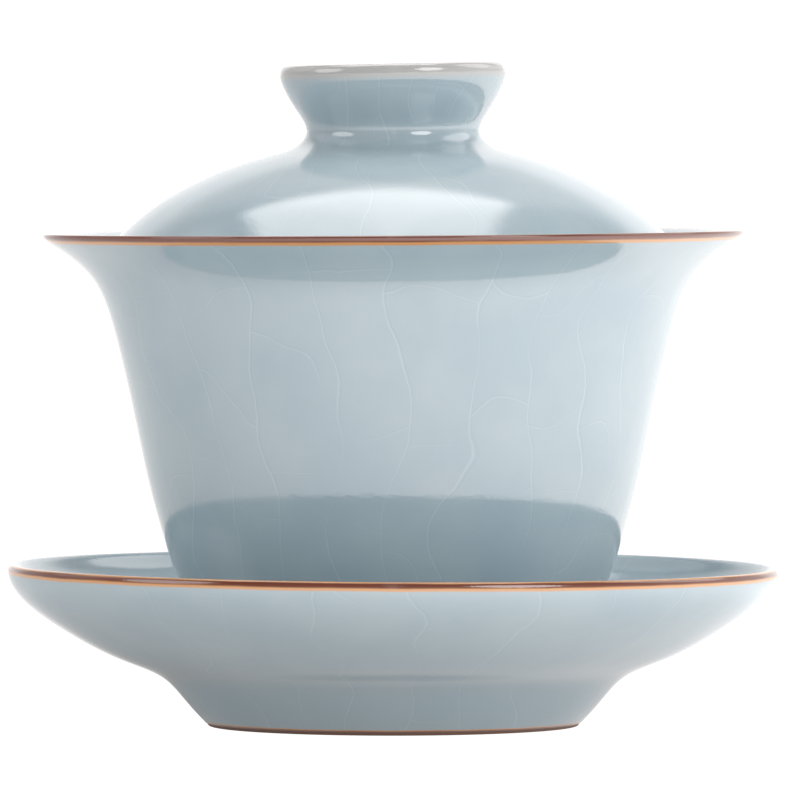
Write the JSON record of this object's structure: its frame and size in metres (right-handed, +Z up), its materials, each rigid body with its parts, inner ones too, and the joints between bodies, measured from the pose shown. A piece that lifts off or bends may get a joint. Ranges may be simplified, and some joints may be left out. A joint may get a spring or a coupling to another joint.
{
  "type": "gaiwan",
  "caption": "Lidded tea bowl with a flared rim, standing in a saucer with a foot ring, under a domed lid with a hollow flared knob, in pale blue crackled glaze.",
  "frame": {"origin": "middle of the saucer's foot, on the surface that the saucer stands on", "axes": "+Z up along the axis that all three pieces share; the pieces are round, so +X and +Y have no meaning of their own"},
  "size_m": [0.11, 0.11, 0.0944],
  "materials": {
    "sky_glaze": "glossy pale blue glaze with a sparse crackle, thin and brown at the rims, bare brown clay under the foot rings"
  },
  "bodies": {
    "saucer": {"saucer": "sky_glaze"},
    "bowl": {"bowl": "sky_glaze"},
    "lid": {"lid": "sky_glaze"}
  },
  "joints": [
    {"name": "bowl_lift", "type": "slide", "parent": "saucer", "child": "bowl", "axis": [0, 0, 1], "range_m": [0, 0.06]},
    {"name": "lid_lift", "type": "slide", "parent": "bowl", "child": "lid", "axis": [0, 0, 1], "range_m": [0, 0.06]}
  ]
}
